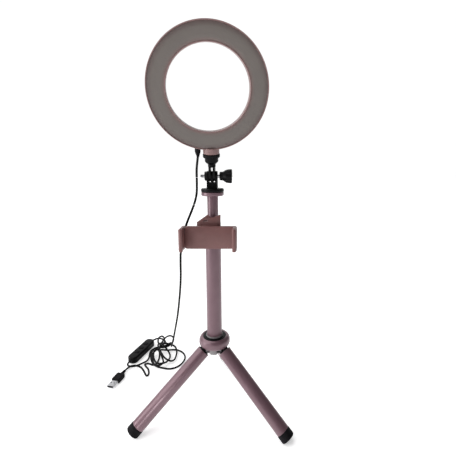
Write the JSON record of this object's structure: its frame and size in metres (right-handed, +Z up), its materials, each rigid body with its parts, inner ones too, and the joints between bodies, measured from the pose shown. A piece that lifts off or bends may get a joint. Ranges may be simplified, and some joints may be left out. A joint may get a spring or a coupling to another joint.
{
  "type": "ring light",
  "caption": "Small USB ring light on a telescopic column with a folding tripod, a tilting head and a clip-on phone holder; inline controller and USB plug on its lead.",
  "frame": {"origin": "on the floor, under the middle of the stand's footprint, the lead left out", "axes": "+Z up along the column, -Y towards the person the lamp lights, +X to the thumb knob's side"},
  "size_m": [0.3102, 0.2702, 0.5665],
  "materials": {
    "rose_enamel": "satin",
    "salmon_plastic": "satin",
    "shell_plastic": "satin",
    "diffuser": "frosted",
    "circuit_board": "satin",
    "black_plastic": "satin",
    "soft_rubber": "matte",
    "lead_sheath": "satin",
    "grey_plastic": "satin",
    "steel": "brushed",
    "brass": "machined"
  },
  "bodies": {
    "base": {"hub_core": "black_plastic", "hub_collar": "rose_enamel", "column_sleeve": "grey_plastic", "outer_tube": "rose_enamel", "outer_rim": "black_plastic", "leg_pin_1": "steel", "leg_pin_2": "steel", "leg_pin_3": "steel", "lead_drop": "lead_sheath", "lead_bundle": "lead_sheath", "lead_link_in": "lead_sheath", "lead_link_out": "lead_sheath", "lead_tail": "lead_sheath", "controller_base": "black_plastic", "controller_lid": "black_plastic", "usb_grip": "black_plastic", "usb_shell": "steel"},
    "mid": {"mid_tube": "rose_enamel", "mid_bush": "black_plastic", "lead_lower": "lead_sheath"},
    "inner": {"inner_tube": "rose_enamel", "inner_bush": "black_plastic", "top_flange": "rose_enamel", "flange_stud": "steel", "prong_base": "black_plastic", "hinge_nut": "steel", "lead_upper": "lead_sheath"},
    "adapter": {"adapter_fork": "black_plastic", "adapter_stud": "steel", "lead_neck": "lead_sheath"},
    "lamp": {"ring_shell": "shell_plastic", "thread_insert": "brass", "diffuser": "diffuser", "led_board": "circuit_board", "lead_boot": "black_plastic", "lead_head": "lead_sheath"},
    "nut": {"lock_nut": "black_plastic"},
    "thumb": {"thumb_bolt": "steel", "thumb_knob": "black_plastic"},
    "clip": {"clip_body": "salmon_plastic", "clip_pin": "steel", "clip_spring": "steel", "swivel_stud": "steel"},
    "lever": {"clip_lever": "salmon_plastic"},
    "plate": {"phone_plate": "salmon_plastic", "back_cover": "salmon_plastic", "jaw_spring": "steel"},
    "jaw": {"sliding_jaw": "salmon_plastic"},
    "leg_1": {"leg_knuckle_1": "black_plastic", "leg_tube_1": "rose_enamel", "leg_foot_1": "soft_rubber"},
    "leg_2": {"leg_knuckle_2": "black_plastic", "leg_tube_2": "rose_enamel", "leg_foot_2": "soft_rubber"},
    "leg_3": {"leg_knuckle_3": "black_plastic", "leg_tube_3": "rose_enamel", "leg_foot_3": "soft_rubber"},
    "key_power": {"key_power": "soft_rubber"},
    "key_colour": {"key_colour": "soft_rubber"},
    "key_dimmer": {"key_dimmer": "soft_rubber"}
  },
  "joints": [
    {"name": "leg_fold_1", "type": "hinge", "parent": "base", "child": "leg_1", "pos_m": [-0.01036, -0.03424, 0.1045], "axis": [0.4633, -0.8862, 0], "range_deg": [0, 49.2]},
    {"name": "leg_fold_2", "type": "hinge", "parent": "base", "child": "leg_2", "pos_m": [0.01473, -0.0353, 0.1045], "axis": [0.5358, 0.8443, 0], "range_deg": [0, 49.2]},
    {"name": "leg_fold_3", "type": "hinge", "parent": "base", "child": "leg_3", "pos_m": [0.0031, -0.01304, 0.1045], "axis": [-0.9991, 0.0419, 0], "range_deg": [0, 49.2]},
    {"name": "mid_slide", "type": "slide", "parent": "base", "child": "mid", "axis": [0, 0, 1], "range_m": [0, 0.15], "deforming": ["lead_lower"]},
    {"name": "inner_slide", "type": "slide", "parent": "mid", "child": "inner", "axis": [0, 0, 1], "range_m": [-0.026, 0.12], "deforming": ["lead_upper"]},
    {"name": "head_tilt", "type": "hinge", "parent": "inner", "child": "adapter", "pos_m": [0.00249, -0.02753, 0.3717], "axis": [1, 0, 0], "range_deg": [-76, 74], "deforming": ["lead_neck"]},
    {"name": "lamp_pan", "type": "hinge", "parent": "adapter", "child": "lamp", "pos_m": [0.00249, -0.02753, 0.3717], "axis": [0, -0.2588, 0.9659], "range_deg": [-90, 90], "deforming": ["lead_head"]},
    {"name": "lock_nut_spin", "type": "hinge", "parent": "adapter", "child": "nut", "pos_m": [0.00249, -0.02753, 0.3717], "axis": [0, -0.2588, 0.9659], "continuous": true},
    {"name": "thumb_screw", "type": "hinge", "parent": "inner", "child": "thumb", "pos_m": [0.00249, -0.02753, 0.3717], "axis": [1, 0, 0], "continuous": true},
    {"name": "holder_slide", "type": "slide", "parent": "base", "child": "clip", "axis": [0, 0, 1], "range_m": [-0.12, 0]},
    {"name": "clip_open", "type": "hinge", "parent": "clip", "child": "lever", "pos_m": [0.01849, -0.04203, 0.288], "axis": [0, 0, -1], "range_deg": [0, 14], "stiffness_Nm_per_rad": 0.8, "springref_deg": -20.05},
    {"name": "holder_swivel", "type": "hinge", "parent": "clip", "child": "plate", "pos_m": [0.00249, -0.04853, 0.286], "axis": [0, 1, 0], "continuous": true},
    {"name": "jaw_slide", "type": "slide", "parent": "plate", "child": "jaw", "axis": [-1, 0, 0], "range_m": [0, 0.028], "stiffness_N_per_m": 60, "springref_m": -0.05, "deforming": ["jaw_spring"]},
    {"name": "press_power", "type": "slide", "parent": "base", "child": "key_power", "axis": [0, 0, -1], "range_m": [0, 0.0008], "stiffness_N_per_m": 400, "springref_m": -0.0008},
    {"name": "press_colour", "type": "slide", "parent": "base", "child": "key_colour", "axis": [0, 0, -1], "range_m": [0, 0.0008], "stiffness_N_per_m": 400, "springref_m": -0.0008},
    {"name": "press_dimmer", "type": "slide", "parent": "base", "child": "key_dimmer", "axis": [0, 0, -1], "range_m": [0, 0.0008], "stiffness_N_per_m": 400, "springref_m": -0.0008}
  ]
}
